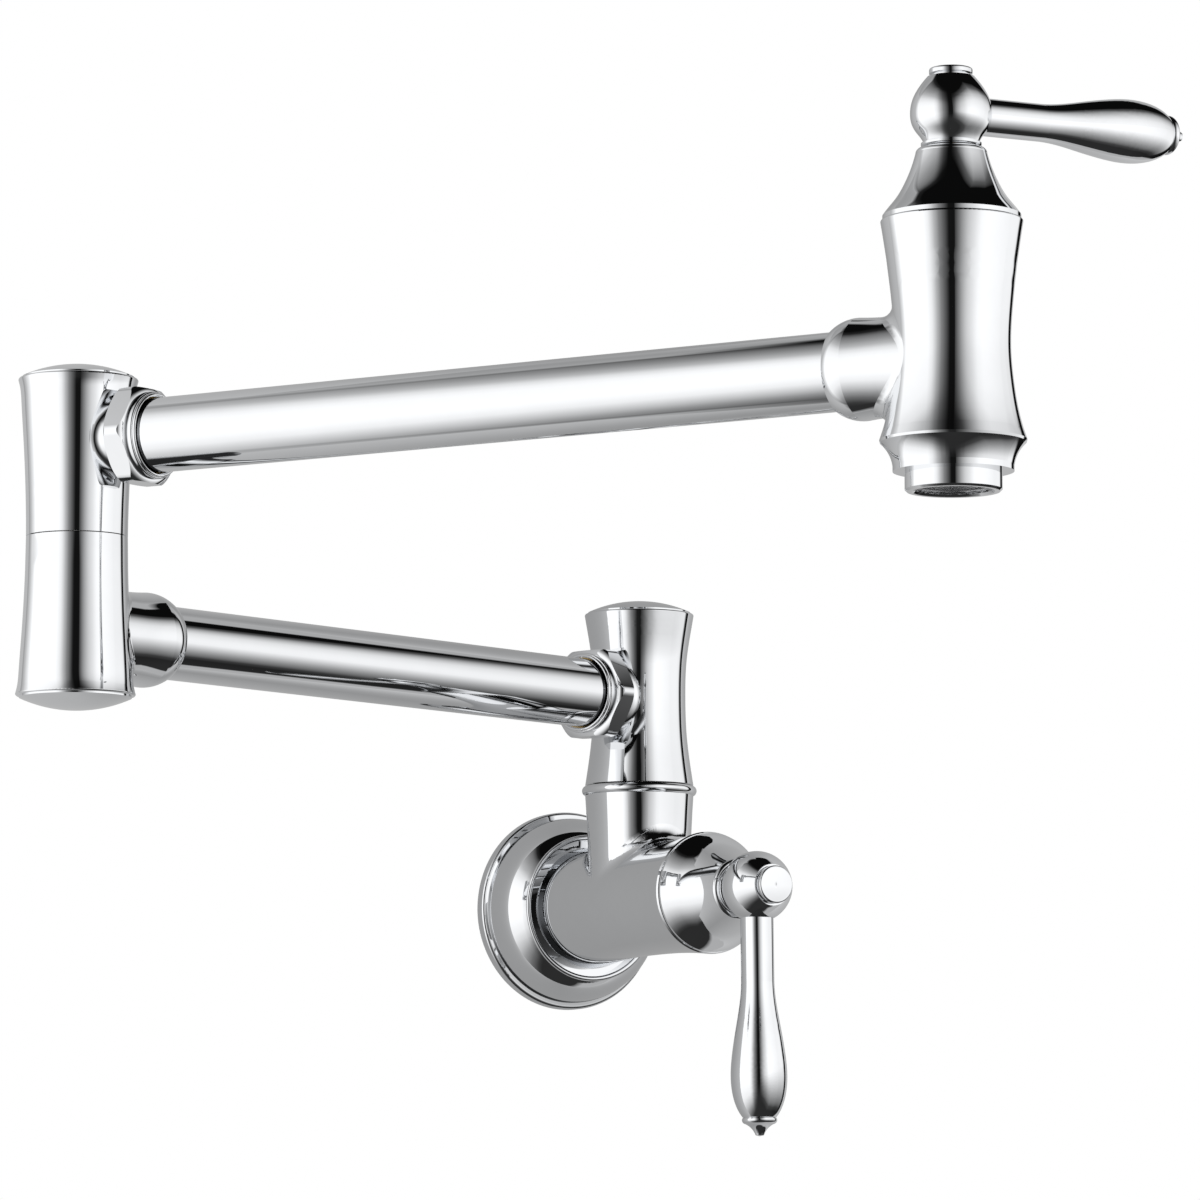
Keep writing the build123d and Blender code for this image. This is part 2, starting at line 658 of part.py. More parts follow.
def cartridge(prefix, plane):
    """Ceramic disc cartridge: housing, base seal, fixed disc, turning disc, stem and stem seal."""
    floor = -valve_bore_depth
    foot = floor + cartridge_lift
    top = -bonnet_thread
    bore = cartridge_radius - cartridge_wall
    ceiling = top - cartridge_roof
    stem_flange = ceiling - 0.1
    turning_top = stem_flange - stem_flange_thickness
    turning_bottom = turning_top - disc_thickness
    fixed_top = turning_bottom - stem_clearance
    fixed_bottom = fixed_top - disc_thickness
    with BuildPart() as housing:
        with BuildSketch(plane):
            with BuildLine():
                Polyline((stem_radius + stem_clearance, ceiling), (bore, ceiling), (bore, foot),
                         (cartridge_radius, foot), (cartridge_radius, top), (cartridge_neck_radius, top),
                         (cartridge_neck_radius, cartridge_neck_top),
                         (stem_radius + stem_clearance, cartridge_neck_top), close=True)
            make_face()
        revolve(axis=turning_axis(plane))
        window = Plane(origin=plane.origin + plane.y_dir * (ceiling - disc_thickness / 2 - 1),
                       x_dir=plane.y_dir, z_dir=plane.x_dir)
        with BuildSketch(window):
            Rectangle(disc_thickness, cartridge_window)
        extrude(amount=cartridge_radius + 1, both=True, mode=Mode.SUBTRACT)
    keep(housing, f"{prefix}_cartridge_housing")

    ring(f"{prefix}_cartridge_seal", plane, floor, fixed_bottom, bore - cartridge_wall, bore)

    for name, low, spread, turn in (("fixed_disc", fixed_bottom, 0, 0),
                                    ("turning_disc", turning_bottom, disc_clearance, 90)):
        with BuildPart() as disc:
            with BuildSketch(square_plane(plane, low)):
                Circle(bore - spread)
                with PolarLocations(disc_port_place, 2, start_angle=turn):
                    Circle(disc_port_radius, mode=Mode.SUBTRACT)
            extrude(amount=disc_thickness)
        keep(disc, f"{prefix}_{name}")

    groove = 2 * stem_seal_section
    with BuildPart() as stem:
        with BuildSketch(square_plane(plane, turning_top)):
            Circle(bore - disc_clearance)
            Rectangle(2 * bore, stem_flange_width, mode=Mode.INTERSECT)
        extrude(amount=stem_flange_thickness)
        with BuildSketch(square_plane(plane, stem_flange)):
            Circle(stem_radius)
        extrude(amount=stem_top - stem_flange)
        with BuildSketch(square_plane(plane, stem_top)):
            Circle(screw_radius)
        extrude(amount=-screw_length - 1, mode=Mode.SUBTRACT)
        with BuildSketch(square_plane(plane, stem_seal_height - stem_seal_section)):
            Circle(stem_radius + 1)
            Circle(stem_radius - groove, mode=Mode.SUBTRACT)
        extrude(amount=groove, mode=Mode.SUBTRACT)
    keep(stem, f"{prefix}_stem")

    with BuildPart() as seal:
        with BuildSketch(plane):
            with Locations((stem_radius - stem_seal_section, stem_seal_height)):
                RegularPolygon(stem_seal_section, 8)
        revolve(axis=turning_axis(plane))
    keep(seal, f"{prefix}_stem_seal")


def handle(prefix, plane):
    """Ball hub on the stem, its screw and button, and the lever; local X points along the lever."""
    web_low = stem_top
    web_high = stem_top + hub_web
    foot = bonnet_height + hub_clearance
    neck = (hub_neck_radius, foot + hub_ring + 0.4)
    ball = (hub_ball_radius, hub_ball_height)
    top = (hub_top_radius, hub_top)
    neck_to_ball = ((0, 0), (0.14, 0.16), (0.41, 0.61), (0.69, 0.91))
    ball_to_top = ((0, 0), (0.21, 0.04), (0.42, 0.17), (0.63, 0.4), (0.85, 0.73), (1, 1))
    centre = plane.origin + plane.y_dir * hub_ball_height
    lever_axis = plane.x_dir * cos(radians(lever_rise)) + plane.y_dir * sin(radians(lever_rise))
    lever_plane = Plane(origin=centre, x_dir=plane.z_dir, z_dir=lever_axis)
    with BuildPart() as hub:
        with BuildSketch(plane):
            with BuildLine():
                Polyline(neck, (hub_ring_radius, foot + hub_ring), (hub_ring_radius, foot + 0.4),
                         (hub_ring_radius - 0.4, foot), (0, foot), (0, hub_top), top)
                Spline(*between(neck, ball, neck_to_ball), *between(ball, top, ball_to_top))
            make_face()
        revolve(axis=turning_axis(plane))
        with BuildSketch(plane):
            with BuildLine():
                Polyline((0, foot), (stem_radius, foot), (stem_radius, web_low),
                         (screw_radius, web_low), (screw_radius, web_high),
                         (button_spigot_radius, web_high), (button_spigot_radius, hub_top),
                         (0, hub_top), close=True)
            make_face()
        revolve(axis=turning_axis(plane), mode=Mode.SUBTRACT)
        with BuildSketch(lever_plane.offset(lever_seat)):
            Circle(lever_shaft_radius + 0.3)
        extrude(amount=hub_ball_radius, mode=Mode.SUBTRACT)
        with BuildSketch(lever_plane.offset(lever_seat)):
            Circle(lever_shank_radius)
        extrude(amount=-lever_shank, mode=Mode.SUBTRACT)
    keep(hub, f"{prefix}_hub")

    face = hub_top + button_height
    with BuildPart() as button:
        with BuildSketch(plane):
            with BuildLine():
                Polyline((0, face), (0, hub_top - button_spigot),
                         (button_spigot_radius, hub_top - button_spigot),
                         (button_spigot_radius, hub_top), (button_radius - 0.5, hub_top),
                         (button_radius - 0.5, hub_top + 0.5), (button_radius, hub_top + 0.9),
                         (button_radius, face - 0.8))
                ThreePointArc((button_radius, face - 0.8), (button_radius - 0.2, face - 0.35),
                              (button_radius - 0.7, face - 0.2))
                RadiusArc((button_radius - 0.7, face - 0.2), (0, face), dome_radius(button_radius - 0.7, 0.2))
            make_face()
        revolve(axis=turning_axis(plane))
    keep(button, f"{prefix}_button")

    with BuildPart() as screw:
        with BuildSketch(square_plane(plane, web_high)):
            Circle(screw_head_radius)
        extrude(amount=screw_head_height)
        with BuildSketch(square_plane(plane, web_high)):
            Circle(screw_radius)
        extrude(amount=-screw_length - hub_web)
        with BuildSketch(square_plane(plane, web_high + screw_head_height)):
            RegularPolygon(screw_socket / 2, 6, major_radius=False)
        extrude(amount=-screw_head_height + 1, mode=Mode.SUBTRACT)
    keep(screw, f"{prefix}_handle_screw")

    side = turning_plane(centre, lever_axis, plane.z_dir)
    bead_end = lever_end + lever_bead
    shaft = (lever_shaft_radius, lever_shaft)
    bulb = (lever_bulb_radius, lever_bulb_place)
    end = (lever_end_radius - 0.1, lever_end)
    shaft_to_bulb = ((0, 0), (0.22, 0.15), (0.47, 0.49), (0.75, 0.85))
    bulb_to_end = ((0, 0), (0.3, 0.07), (0.56, 0.25), (0.8, 0.56), (1, 1))
    with BuildPart() as lever:
        with BuildSketch(side):
            with BuildLine():
                Polyline((lever_tip_radius, lever_length - 1.0), (lever_tip_radius - 0.3, lever_length - 0.3),
                         (0, lever_length), (0, lever_seat - lever_shank),
                         (lever_shank_radius, lever_seat - lever_shank),
                         (lever_shank_radius, lever_seat), (lever_shaft_radius, lever_seat), shaft)
                Spline(*between(shaft, bulb, shaft_to_bulb), *between(bulb, end, bulb_to_end))
                ThreePointArc(end, (lever_bead_radius, (lever_end + bead_end) / 2),
                              (lever_end_radius - 0.6, bead_end))
                ThreePointArc((lever_end_radius - 0.6, bead_end),
                              (lever_tip_radius + 0.9, (bead_end + lever_length) / 2 - 0.4),
                              (lever_tip_radius, lever_length - 1.0))
            make_face()
        revolve(axis=turning_axis(side))
    keep(lever, f"{prefix}_lever")


# ------------------------------------------------------------------ spout

def spout_body():
    """Hourglass spout with a bell mouth, the upper arm's collar and the chamber of its valve."""
    plane = turning_plane(spout_centre, up, upper_arm)
    chamber_floor = spout_top - valve_bore_depth
    collar = ball_collar(spout_centre, -upper_arm)
    socket = collar_socket(spout_centre, -upper_arm)
    solid = turned_column(plane, spout_outside, spout_top)
    with BuildPart() as body:
        add(solid)
        add(collar)
        fillet(body.edges(Select.NEW), spout_collar_fillet)
        with BuildSketch(plane):
            with BuildLine():
                Polyline((outlet_neck_radius, bell_edge - bell_cove), (outlet_neck_radius, outlet_face),
                         (0, outlet_face), (0, bell_edge), (bell_radius, bell_edge),
                         (bell_radius - bell_lip_step, bell_edge - bell_lip))
                ThreePointArc((bell_radius - bell_lip_step, bell_edge - bell_lip),
                              (bell_cove_radius, bell_edge - bell_cove_middle),
                              (outlet_neck_radius, bell_edge - bell_cove))
            make_face()
        revolve(axis=turning_axis(plane))
        with BuildSketch(plane):
            with BuildLine():
                Polyline((0, -port_radius + 3), (port_radius, -port_radius + 3),
                         (port_radius, chamber_floor), (valve_bore_radius, chamber_floor),
                         (valve_bore_radius, spout_top), (0, spout_top), close=True)
            make_face()
            with BuildLine():
                Polyline((0, outlet_face), (aerator_thread_radius, outlet_face),
                         (aerator_thread_radius, outlet_shoulder),
                         (outlet_chamber_radius, outlet_shoulder),
                         (outlet_chamber_radius, outlet_chamber_top - 2), (0, outlet_chamber_top),
                         close=True)
            make_face()
        revolve(axis=turning_axis(plane), mode=Mode.SUBTRACT)
        add(socket, mode=Mode.SUBTRACT)
        with BuildSketch(square_plane(plane, outlet_shoulder)):
            with PolarLocations(bypass_place, 2, start_angle=-60, angular_range=120, endpoint=True):
                Circle(bypass_radius)
        extrude(amount=chamber_floor - outlet_shoulder, mode=Mode.SUBTRACT)
    keep(body, "spout_body")


def aerator():
    """Aerator screwed into the mouth of the spout: housing, insert with its screen, and washer."""
    plane = turning_plane(spout_centre, up, upper_arm)
    washer_low = outlet_shoulder - aerator_washer
    foot = outlet_face - aerator_height
    seat = foot + aerator_lip
    turned("aerator_housing", plane, [
        (aerator_bore_radius, washer_low), (aerator_thread_radius, washer_low),
        (aerator_thread_radius, outlet_face), (aerator_radius, outlet_face),
        (aerator_radius, foot + aerator_edge), (aerator_radius - aerator_edge, foot),
        (aerator_mouth_radius + aerator_edge, foot), (aerator_mouth_radius, foot + aerator_edge),
        (aerator_mouth_radius, seat), (aerator_bore_radius, seat)])
    screen_low = seat + screen_lift
    turned("aerator_insert", plane, [
        (0, screen_low), (aerator_bore_radius - insert_wall, screen_low),
        (aerator_bore_radius - insert_wall, seat), (aerator_bore_radius, seat),
        (aerator_bore_radius, seat + insert_height),
        (aerator_bore_radius - insert_wall, seat + insert_height),
        (aerator_bore_radius - insert_wall, screen_low + screen_thickness),
        (0, screen_low + screen_thickness)])
    ring("aerator_washer", plane, washer_low, outlet_shoulder, outlet_chamber_radius,
         aerator_thread_radius)


# ------------------------------------------------------------------ the whole pot filler

ring("wall_gasket", wall_plane, 0, gasket_thickness, flange_plate_radius - 6.0, flange_plate_radius - 0.8)
wall_flange()
wall_valve_body()
bearing_ring()
swivel("wall", wall_foot)
swivel_column("wall_column", wall_foot, wall_outside, wall_rim_height, lower_arm)
column_cap("wall_column_cap", wall_foot + up * wall_rim_height, up)

arm_union("lower", wall_port, lower_arm, lower_arm_reach)
elbow_lower_half()
column_cap("elbow_lower_cap", elbow_low_foot - up * elbow_rim_height, -up)
swivel("elbow", elbow_high_foot)
swivel_column("elbow_upper_half", elbow_high_foot, elbow_outside, elbow_rim_height, upper_arm)
column_cap("elbow_upper_cap", elbow_high_foot + up * elbow_rim_height, up)
arm_union("upper", elbow_high_port, upper_arm, upper_arm_reach)

spout_body()
aerator()
valves = {"wall": turning_plane(out_of_wall * barrel_length, out_of_wall, -up),
          "spout": turning_plane(spout_centre + up * spout_top, up, heading(spout_lever_turn))}
for valve_name, valve_plane in valves.items():
    bonnet(valve_name, valve_plane)
    cartridge(valve_name, valve_plane)
    handle(valve_name, valve_plane)
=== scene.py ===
# %% [markdown]
# # A wall mounted pot filler, finished and photographed
#
# A pot filler is a tap on a folding arm: it swings out over a stove and folds back to the wall.
# Every part you see from the kitchen is brass that was turned or cast, polished and chrome plated.
# This lesson takes the tap's exact solids as a frame, gives each surface its real finish, save for
# the aerator's insert, whose dark grey is painted shade, adds the fine repeated work that a solid
# modeller leaves out, and builds a small studio around it, because polished metal shows nothing
# of its own: all it shows is the room it stands in.

# %% The frame and the tools
import json
import math

import bmesh
import bpy
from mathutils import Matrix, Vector


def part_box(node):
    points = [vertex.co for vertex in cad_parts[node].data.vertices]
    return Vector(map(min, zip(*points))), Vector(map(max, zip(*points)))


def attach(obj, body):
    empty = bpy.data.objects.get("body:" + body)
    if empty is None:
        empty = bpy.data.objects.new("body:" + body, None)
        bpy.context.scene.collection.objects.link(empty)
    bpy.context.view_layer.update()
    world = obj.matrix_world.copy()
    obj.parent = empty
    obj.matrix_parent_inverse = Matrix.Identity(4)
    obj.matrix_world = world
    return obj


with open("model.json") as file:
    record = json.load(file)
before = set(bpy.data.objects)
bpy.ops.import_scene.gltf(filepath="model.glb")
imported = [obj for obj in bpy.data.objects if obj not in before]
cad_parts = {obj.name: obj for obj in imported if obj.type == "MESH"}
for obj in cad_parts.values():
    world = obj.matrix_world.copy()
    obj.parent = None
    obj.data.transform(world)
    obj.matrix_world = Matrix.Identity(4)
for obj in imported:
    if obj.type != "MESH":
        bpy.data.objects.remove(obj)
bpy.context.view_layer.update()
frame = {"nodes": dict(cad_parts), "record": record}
nodes = frame["nodes"]

# %% [markdown]
# ## The camera
#
# The picture was taken from low on the left with a long lens, so lines that run away from us hardly
# shrink. The camera stands 2.1 m away, below the tap, and tilts up at it. A long lens on a 36 mm
# wide sensor does the same here. A wide lens close by could hold the whole tap too, but it would
# make the near spout look far too large beside the wall.

# %% Camera
camera_place = Vector((-0.98102, -1.8327, -0.14371))
camera_turn = math.radians(28.5)
camera_tilt = math.radians(6.794)

lens = bpy.data.cameras.new("studio_camera")
lens.sensor_width = 36.0
lens.lens = 188.54
camera = bpy.data.objects.new("studio_camera", lens)
camera.location = camera_place
camera.rotation_euler = (math.radians(90) + camera_tilt, 0, -camera_turn)
bpy.context.scene.collection.objects.link(camera)
bpy.context.scene.camera = camera
bpy.context.scene.view_settings.view_transform = "Standard"
print("camera", tuple(round(c, 3) for c in camera.location), "lens", round(lens.lens, 1))

# %% [markdown]
# ## Small helpers for node trees
#
# A material is a little graph, and so is a rule that grows a mesh. `place` adds a node and sets its
# sockets by name, `wire` joins sockets, and `maths` adds one sum whose terms are numbers or other
# sockets. With them each recipe below reads as a list of what it does.


# %% Placing and wiring nodes
def place(tree, kind, **values):
    """Adds a node; a value goes to the input socket of that name, or else to the property."""
    node = tree.nodes.new(kind)
    for name, value in values.items():
        label = name.replace("_", " ").title()
        if label in node.inputs:
            node.inputs[label].default_value = value
        else:
            setattr(node, name, value)
    return node


def wire(tree, *pairs):
    """Joins each output socket to the input socket beside it."""
    for source, target in pairs:
        tree.links.new(source, target)


def feed(tree, socket, term):
    """Gives an input socket a number, or wires another socket to it."""
    if isinstance(term, (int, float)):
        socket.default_value = term
    else:
        tree.links.new(term, socket)


def maths(tree, operation, *terms):
    """A Math node whose terms are numbers or sockets; gives its output."""
    node = tree.nodes.new("ShaderNodeMath")
    node.operation = operation
    for socket, term in zip(node.inputs, terms):
        feed(tree, socket, term)
    return node.outputs[0]


print("node helpers: place, wire, feed, maths")

# %% [markdown]
# ## Two effects that every finish shares
#
# An effect that many materials use is made once, as a group with named inputs, and each material
# gives it its own values.
#
# **Haze** is how a polished surface is never equally polished: wiping, dried water and the buffing
# wheel leave broad soft patches that are a little duller. It is a slow noise with a fine one on it,
# and it gives a roughness between the brightest and the dullest. One plain number would do for a
# far view, but up close it makes metal look like a drawing of metal.


# %% Haze
def new_group(name, inputs, outputs):
    """A shader node group with float inputs {name: default} and outputs {name: socket type}."""
    group = bpy.data.node_groups.new(name, "ShaderNodeTree")
    for label, default in inputs.items():
        socket = group.interface.new_socket(label, in_out="INPUT", socket_type="NodeSocketFloat")
        socket.default_value = default
    for label, kind in outputs.items():
        group.interface.new_socket(label, in_out="OUTPUT", socket_type=kind)
    return group, group.nodes.new("NodeGroupInput"), group.nodes.new("NodeGroupOutput")


fine_to_slow = 14.0               # the fine noise is this many times finer than the slow one
slow_share, fine_share = 0.75, 0.25


def haze_group():
    """Roughness between Bright and Dull, in patches."""
    group, given, result = new_group(
        "haze", {"Patch Size": 40.0, "Dull": 0.08, "Bright": 0.02},
        {"Roughness": "NodeSocketFloat"})
    spot = place(group, "ShaderNodeTexCoord")
    slow = place(group, "ShaderNodeTexNoise", detail=3.0, roughness=0.6)
    fine = place(group, "ShaderNodeTexNoise", detail=2.0)
    finer = maths(group, "MULTIPLY", given.outputs["Patch Size"], fine_to_slow)
    wire(group, (spot.outputs["Object"], slow.inputs["Vector"]),
         (spot.outputs["Object"], fine.inputs["Vector"]),
         (given.outputs["Patch Size"], slow.inputs["Scale"]), (finer, fine.inputs["Scale"]))
    mixed = maths(group, "ADD", maths(group, "MULTIPLY", slow.outputs["Fac"], slow_share),
                  maths(group, "MULTIPLY", fine.outputs["Fac"], fine_share))
    spread = place(group, "ShaderNodeMapRange", from_min=0.35, from_max=0.65)
    wire(group, (mixed, spread.inputs["Value"]), (given.outputs["Bright"], spread.inputs["To Min"]),
         (given.outputs["Dull"], spread.inputs["To Max"]),
         (spread.outputs["Result"], result.inputs["Roughness"]))
    return group


haze = haze_group()
print("shared effect:", haze.name, "nodes:", len(haze.nodes))

# %% [markdown]
# **Skin** is the faint unevenness under the plating, which makes a long reflection waver slightly.
# It is a height for a Bump node, and one number sets how coarse it is. It could be pushed into the
# mesh instead, but at a few hundredths of a millimetre it never shows in an outline.


# %% Skin
def skin_group():
    """A soft height; Grain Size is about how many waves lie in a metre."""
    group, given, result = new_group(
        "skin", {"Grain Size": 120.0}, {"Height": "NodeSocketFloat"})
    spot = place(group, "ShaderNodeTexCoord")
    noise = place(group, "ShaderNodeTexNoise", detail=1.0, roughness=0.4)
    wire(group, (spot.outputs["Object"], noise.inputs["Vector"]),
         (given.outputs["Grain Size"], noise.inputs["Scale"]),
         (noise.outputs["Fac"], result.inputs["Height"]))
    return group


skin = skin_group()
print("shared effect:", skin.name, "nodes:", len(skin.nodes))

# %% [markdown]
# ## One recipe for every finish
#
# All the finishes are Principled shaders and differ only in numbers, so one function makes them
# all. It takes the colour, how metallic it is, the size of the patches of haze and the roughness
# at their brightest and dullest, the grain and the depth of the skin, and a tint: how much darker
# the colour gets where the haze is dullest.


# %% Finish recipe
# A Mix node has sockets A and B for every kind of value; these are the ones for colours.
colour_a, colour_b, mixed_colour = 6, 7, 2


def finish(name, colour, metallic, patch, bright, dull, grain, depth, tint):
    """A Principled material with haze for its roughness and skin for its bump."""
    material = bpy.data.materials.new(name)
    material.use_nodes = True
    tree = material.node_tree
    shader = tree.nodes["Principled BSDF"]
    shader.inputs["Metallic"].default_value = metallic
    dulling = place(tree, "ShaderNodeGroup", node_tree=haze)
    for label, value in (("Patch Size", patch), ("Bright", bright), ("Dull", dull)):
        dulling.inputs[label].default_value = value
    surface = place(tree, "ShaderNodeGroup", node_tree=skin)
    surface.inputs["Grain Size"].default_value = grain
    bump = place(tree, "ShaderNodeBump", strength=1.0, distance=depth)
    shade = place(tree, "ShaderNodeMix", data_type="RGBA")
    darker = tuple(c * (1.0 - tint) for c in colour)
    shade.inputs[colour_a].default_value = (*colour, 1)
    shade.inputs[colour_b].default_value = (*darker, 1)
    spread = place(tree, "ShaderNodeMapRange", from_min=bright, from_max=dull)
    wire(tree, (dulling.outputs["Roughness"], shader.inputs["Roughness"]),
         (dulling.outputs["Roughness"], spread.inputs["Value"]),
         (spread.outputs["Result"], shade.inputs[0]),
         (shade.outputs[mixed_colour], shader.inputs["Base Color"]),
         (surface.outputs["Height"], bump.inputs["Height"]),
         (bump.outputs["Normal"], shader.inputs["Normal"]))
    return material


print("a finish is made of:", haze.name, "and", skin.name)

# %% [markdown]
# ## Three chromes
#
# Chrome is a little bluer than silver, with almost no roughness. What lies under the plating tells
# the pieces apart: a casting wavers the most, a drawn tube has long shallow waves, and trim from
# the lathe has the shallowest waves and the clearest shine.

# %% The chromes
chrome = (0.80, 0.81, 0.825)
cast_chrome = finish(
    "polished_cast_chrome", chrome, metallic=1.0, patch=30.0, bright=0.008, dull=0.028,
    grain=55.0, depth=0.00004, tint=0.03)
drawn_chrome = finish(
    "drawn_tube_chrome", chrome, metallic=1.0, patch=18.0, bright=0.010, dull=0.030,
    grain=30.0, depth=0.00003, tint=0.03)
turned_chrome = finish(
    "turned_trim_chrome", chrome, metallic=1.0, patch=60.0, bright=0.006, dull=0.024,
    grain=80.0, depth=0.00002, tint=0.03)
print("chromes:", cast_chrome.name, drawn_chrome.name, turned_chrome.name)

# %% [markdown]
# ## The finishes inside
#
# Behind the chrome are bare brass spindles and stems, steel clips and screws, and black rubber
# seals. The washers in the swivels and unions are white acetal, a slippery plastic, and the valve
# discs are ceramic. Rubber, acetal and ceramic aren't metals, and they differ in how broad their
# shine is. The insert of the aerator is white acetal too, but here it gets a dark grey finish of
# its own: painted shade for the dim mouth of the aerator, which it fills.

# %% The inner finishes
bare_brass = finish(
    "turned_brass", (0.66, 0.47, 0.20), metallic=1.0, patch=90.0, bright=0.16, dull=0.34,
    grain=700.0, depth=0.00004, tint=0.25)
spring_steel = finish(
    "spring_steel", (0.56, 0.57, 0.58), metallic=1.0, patch=120.0, bright=0.18, dull=0.32,
    grain=900.0, depth=0.00003, tint=0.15)
seal_rubber = finish(
    "seal_rubber", (0.028, 0.028, 0.030), metallic=0.0, patch=150.0, bright=0.42, dull=0.62,
    grain=1200.0, depth=0.00005, tint=0.2)
white_acetal = finish(
    "white_acetal", (0.80, 0.80, 0.76), metallic=0.0, patch=120.0, bright=0.30, dull=0.45,
    grain=1400.0, depth=0.00003, tint=0.05)
valve_ceramic = finish(
    "valve_ceramic", (0.86, 0.85, 0.81), metallic=0.0, patch=160.0, bright=0.05, dull=0.14,
    grain=600.0, depth=0.00001, tint=0.04)
# A dark grey for the aerator's insert, which is white acetal: painted shade for the aerator's dim
# mouth.
painted_shade_grey = finish(
    "painted_shade_grey", (0.10, 0.10, 0.105), metallic=0.0, patch=120.0, bright=0.28, dull=0.42,
    grain=1400.0, depth=0.00003, tint=0.1)
print("finishes:", len(bpy.data.materials))

# %% [markdown]
# ## Which piece gets which finish
#
# The record names a material slot for every node. The chrome slot covers three kinds of piece that
# were made in different ways, so a short list of name endings tells cast bodies, drawn tubes and
# lathe-turned trim apart.

# %% Giving out the finishes
by_slot = {"chrome": turned_chrome, "brass": bare_brass, "stainless": spring_steel,
           "seal_rubber": seal_rubber, "acetal": white_acetal, "ceramic": valve_ceramic}
cast_endings = ("_body", "_column", "_half", "_flange")
for part in frame["record"]["subparts"]:
    name = part["node"]
    material = by_slot[part["material_slot"]]
    if name.endswith("arm_tube"):
        material = drawn_chrome
    elif name.endswith(cast_endings):
        material = cast_chrome
    # The aerator's insert gets the dark grey: painted shade in place of its white acetal.
    elif name == "aerator_insert":
        material = painted_shade_grey
    mesh = nodes[name].data
    mesh.materials.clear()
    mesh.materials.append(material)

# %% [markdown]
# ## Pieces that follow a rule
#
# Two details repeat: the honeycomb that the water leaves through, and the thread that screws onto
# the pipe in the wall. Each is a small Geometry Nodes tree with named sizes, so that another pitch
# is one other number. `grow` runs a tree on an empty mesh, keeps the result as a plain mesh, takes
# the modifier off and lets the piece ride on its body. `settle` is how both trees end.


# %% Growing a piece from its tree
def new_tree(name, sizes):
    """A Geometry Nodes tree with inputs sizes {name: metres or count}, a Place and a Finish."""
    tree = bpy.data.node_groups.new(name, "GeometryNodeTree")
    for label, size in sizes.items():
        socket = tree.interface.new_socket(label, in_out="INPUT", socket_type="NodeSocketFloat")
        socket.default_value = size
    tree.interface.new_socket("Place", in_out="INPUT", socket_type="NodeSocketVector")
    tree.interface.new_socket("Finish", in_out="INPUT", socket_type="NodeSocketMaterial")
    tree.interface.new_socket("Geometry", in_out="OUTPUT", socket_type="NodeSocketGeometry")
    return tree, tree.nodes.new("NodeGroupInput"), tree.nodes.new("NodeGroupOutput")


def settle(tree, given, result, geometry, **turn):
    """Moves the geometry to its Place, makes instances real and gives it its Finish."""
    moved = place(tree, "GeometryNodeTransform", **turn)
    real = place(tree, "GeometryNodeRealizeInstances")
    dressed = place(tree, "GeometryNodeSetMaterial")
    wire(tree, (geometry, moved.inputs["Geometry"]),
         (given.outputs["Place"], moved.inputs["Translation"]), (moved.outputs[0], real.inputs[0]),
         (real.outputs[0], dressed.inputs["Geometry"]),
         (given.outputs["Finish"], dressed.inputs["Material"]),
         (dressed.outputs[0], result.inputs[0]))


def new_object(name, data):
    """An object for a mesh or a lamp, linked to the scene."""
    thing = bpy.data.objects.new(name, data)
    bpy.context.scene.collection.objects.link(thing)
    return thing


def grow(name, tree, values, body):
    """Runs the tree with these values, keeps its mesh and fixes the piece to its body."""
    piece = new_object(name, bpy.data.meshes.new(name + "_seed"))
    rule = piece.modifiers.new("rule", "NODES")
    rule.node_group = tree
    for item in tree.interface.items_tree:
        if item.item_type == "SOCKET" and item.in_out == "INPUT" and item.name in values:
            rule[item.identifier] = values[item.name]
    grown = piece.evaluated_get(bpy.context.evaluated_depsgraph_get())
    mesh = bpy.data.meshes.new_from_object(grown)
    piece.modifiers.remove(rule)
    piece.data = mesh
    mesh.name = name
    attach(piece, body)
    print(name, "faces:", len(mesh.polygons))


print("tree helpers: new_tree, settle, new_object, grow")

# %% [markdown]
# ## The honeycomb in the aerator
#
# An aerator breaks the water into many thin threads, which is why it doesn't splash. Its last
# screen is a honeycomb of thin walls. The lattice is a grid whose every second row is pushed along
# by half a pitch. Points too near the rim are dropped, and each that is left gets one six-sided
# cell. A sheet with holes cut in it would leave slivers at the rim, and here every cell is whole.

# %% The lattice of cells
row_share = math.sqrt(3) / 2      # rows lie this share of a pitch apart
rows_per_pitch = 1.16             # a little over 1 / row_share, so that the rows reach the rim
spare_rows = 3.0                  # the middle row, and one more at each end
corner_share = 0.58               # a cell's corners lie this share of a pitch from its middle


